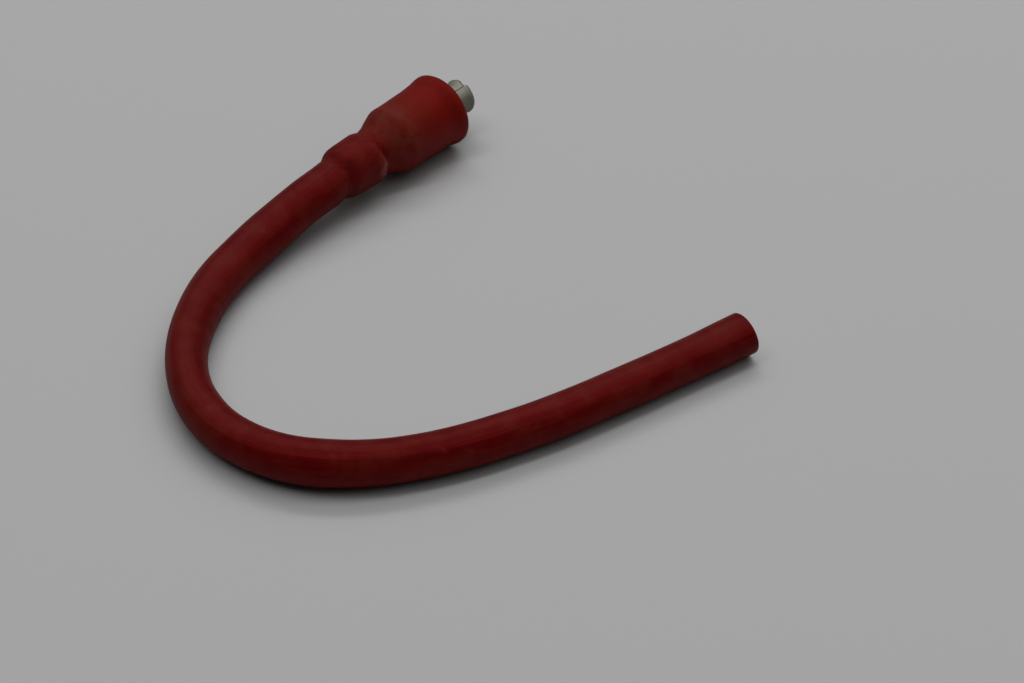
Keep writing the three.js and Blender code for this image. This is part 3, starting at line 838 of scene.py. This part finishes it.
def makeTerminal():
    barrel = turnClosed("terminalBody", terminal["barrel"], terminal["lean"])
    combine(barrel, addBlock(*terminal["seam"], terminal["seamTurn"]), "DIFFERENCE")
    channel = turnClosed("channel", terminal["channel"])
    combine(channel, addBlock(*terminal["channelTop"]), "DIFFERENCE")
    combine(barrel, channel, "UNION")
    jacketGrip = turnClosed("jacketGrip", terminal["jacketGrip"])
    combine(jacketGrip, addBlock(*terminal["jacketGripSlit"]), "DIFFERENCE")
    combine(barrel, jacketGrip, "UNION")
    coreGrip = turnClosed("coreGrip", terminal["coreGrip"])
    combine(coreGrip, addBlock(*terminal["coreGripSlit"]), "DIFFERENCE")
    web = addBlock(*terminal["web"])
    bpy.ops.object.mode_set(mode="EDIT")
    bpy.ops.mesh.select_all(action="DESELECT")
    bpy.ops.object.mode_set(mode="OBJECT")
    for vertex in web.data.vertices:   # the two low corners at its back end
        vertex.select = (vertex.co.z < (boot["axis"] - 3) * mm and
                         vertex.co.x < (boot["back"] + terminal["web"][0] + 0.5) * mm)
    bpy.ops.object.mode_set(mode="EDIT")
    bpy.ops.transform.translate(value=(0, 0, -terminal["webFoot"] * mm))
    bpy.ops.object.mode_set(mode="OBJECT")
    combine(coreGrip, web, "UNION")
    combine(barrel, coreGrip, "UNION")
    applyModifier(barrel, "BEVEL", width=terminal["edgeRound"] * mm, segments=2,
                  limit_method="ANGLE", angle_limit=math.radians(terminal["edgeAngle"]))
    for place, move, size in terminal["pulls"]:
        pull(barrel, place, move, size)
    selectOnly(barrel)
    bpy.ops.object.shade_smooth_by_angle(angle=math.radians(terminal["smoothAngle"]))
    return barrel


def makeZincSteel():
    # Zinc plated strip, dulled by handling: a soft grey metal with a fine crystalline mottle. Its
    # oxide film is part of what is seen, so it isn't metal all through.
    material, tree = newMaterial("dulledZincPlate")
    place = addNode(tree, "ShaderNodeTexCoord").outputs["Object"]
    mottle = addNode(tree, "ShaderNodeTexNoise", {
        "Vector": place, "Scale": 1 / (terminal["mottle"] * mm), "Detail": 4})
    colour = addNode(tree, "ShaderNodeMix", {
        "Factor": mottle.outputs[0], "A": terminal["zinc"][0], "B": terminal["zinc"][1]},
        data_type="RGBA")
    rough = addNode(tree, "ShaderNodeMapRange", {
        "Value": mottle.outputs[0], "From Min": 0.3, "From Max": 0.7,
        "To Min": terminal["roughness"][0], "To Max": terminal["roughness"][1]})
    shader = addNode(tree, "ShaderNodeBsdfPrincipled", {
        "Base Color": colour.outputs["Result"], "Roughness": rough.outputs[0], "Metallic": 0.78})
    addNode(tree, "ShaderNodeOutputMaterial", {"Surface": shader.outputs[0]})
    return material


terminalBody = makeTerminal()
terminalBody.data.materials.clear()   # of any slots that the joining left
terminalBody.data.materials.append(makeZincSteel())
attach(terminalBody, "root")
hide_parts("terminal")
say("terminal rolled")

# The bench, the room it reflects and the lamps.
studio = {
    "middle": (-0.02, -0.05, 0),   # m, under the object
    "floorSize": 4.0,          # m
    "floorColour": "#adadad",       # as the camera sees it
    "floorInGloss": "#646464",      # as the glossy skins reflect it
    "floorBounce": "#f2f2f2",       # as it lights what stands on it
    "skyBright": 1.05,         # the bright ceiling and wall beyond the object
    "skyTowards": 30,          # degrees from +X towards +Y, where the bright part faces from
    "skyDim": 0.08,            # the dim room on the camera's side
    "skyLow": 0.06,            # share of the brightness that is left low down
    "skyRise": (0.25, 0.95),   # sines of the heights between which it grows to the whole
    "skyEdge": 68,             # degrees up from the camera's side, where the bright part begins
    "skyInDiffuse": 0.82,      # share of it that lights matt surfaces; the lamps do the rest
    "skySoft": 0.06,           # how gradual that edge is, as a cosine
    # strip lamps: W, degrees above the bench, degrees from +X towards +Y, length and depth in m
    "lamps": [
        ("highLamp", 6.2, 84, 65, 2.0, 0.2),    # draws the dark edge close under the cable
        ("backLamp", 5.5, 53, 43, 1.2, 0.2),    # draws the fainter edge beyond it
        ("wideLamp", 2.8, 48, 8, 1.2, 1.0),     # deepens the soft shade in front of the object
    ],
    "lampDistance": 1.5,       # m
}


def addAreaLight(name, place, aim, width, depth, power):
    bpy.ops.object.light_add(type="AREA")
    light = bpy.context.object
    light.name = name
    light.data.shape = "RECTANGLE"
    light.data.size = width
    light.data.size_y = depth
    light.data.energy = power
    light.location = place
    light.rotation_euler = (aim - place).to_track_quat("-Z", "Y").to_euler()
    return light


def makeStudio():
    selectOnly()
    bpy.ops.mesh.primitive_plane_add(size=studio["floorSize"], location=studio["middle"])
    floor = bpy.context.object
    floor.name = "benchTop"
    bpy.ops.object.transform_apply(location=True, rotation=True, scale=True)
    material, tree = newMaterial("paleGreyBench")
    rays = addNode(tree, "ShaderNodeLightPath")
    unseen = addNode(tree, "ShaderNodeMix", {
        "Factor": rays.outputs["Is Glossy Ray"], "A": studio["floorBounce"],
        "B": studio["floorInGloss"]}, data_type="RGBA")
    tone = addNode(tree, "ShaderNodeMix", {
        "Factor": rays.outputs["Is Camera Ray"], "A": unseen.outputs["Result"],
        "B": studio["floorColour"]}, data_type="RGBA")
    shader = addNode(tree, "ShaderNodeBsdfPrincipled", {
        "Base Color": tone.outputs["Result"], "Roughness": 0.8, "Specular IOR Level": 0.1})
    addNode(tree, "ShaderNodeOutputMaterial", {"Surface": shader.outputs[0]})
    floor.data.materials.append(material)
    world = bpy.data.worlds.new("softSurround")
    bpy.context.scene.world = world
    world.use_nodes = True
    tree = world.node_tree
    towardsBright = pointing(studio["skyTowards"], 90 - studio["skyEdge"])
    direction = addNode(tree, "ShaderNodeTexCoord").outputs["Generated"]
    across = addNode(tree, "ShaderNodeVectorMath", {0: direction, 1: towardsBright},
                     operation="DOT_PRODUCT")
    level = addNode(tree, "ShaderNodeMapRange", {
        "Value": across.outputs["Value"], "From Min": -studio["skySoft"],
        "From Max": studio["skySoft"], "To Min": studio["skyDim"],
        "To Max": studio["skyBright"]}, interpolation_type="SMOOTHSTEP")
    upward = addNode(tree, "ShaderNodeSeparateXYZ", {0: direction})
    share = addNode(tree, "ShaderNodeMapRange", {
        "Value": upward.outputs["Z"], "From Min": studio["skyRise"][0],
        "From Max": studio["skyRise"][1],
        "To Min": studio["skyLow"], "To Max": 1.0}, interpolation_type="SMOOTHSTEP")
    strength = addNode(tree, "ShaderNodeMath", {0: level.outputs[0], 1: share.outputs[0]},
                       operation="MULTIPLY")
    rays = addNode(tree, "ShaderNodeLightPath")
    kind = addNode(tree, "ShaderNodeMapRange", {
        "Value": rays.outputs["Is Glossy Ray"], "To Min": studio["skyInDiffuse"], "To Max": 1.0})
    total = addNode(tree, "ShaderNodeMath", {0: strength.outputs[0], 1: kind.outputs[0]},
                    operation="MULTIPLY")
    background = tree.nodes["Background"]
    background.inputs["Color"].default_value = (1, 1, 1, 1)
    tree.links.new(total.outputs[0], background.inputs["Strength"])
    middle = Vector(studio["middle"])
    for name, power, height, turn, length, depth in studio["lamps"]:
        place = middle + pointing(turn, height) * studio["lampDistance"]
        lamp = addAreaLight(name, place, middle, length, depth, power)
        lamp.visible_glossy = False   # the satin skins then show the soft sky, with no hard streak


makeStudio()
bpy.context.scene.view_settings.view_transform = "Standard"
say("bench and light set")
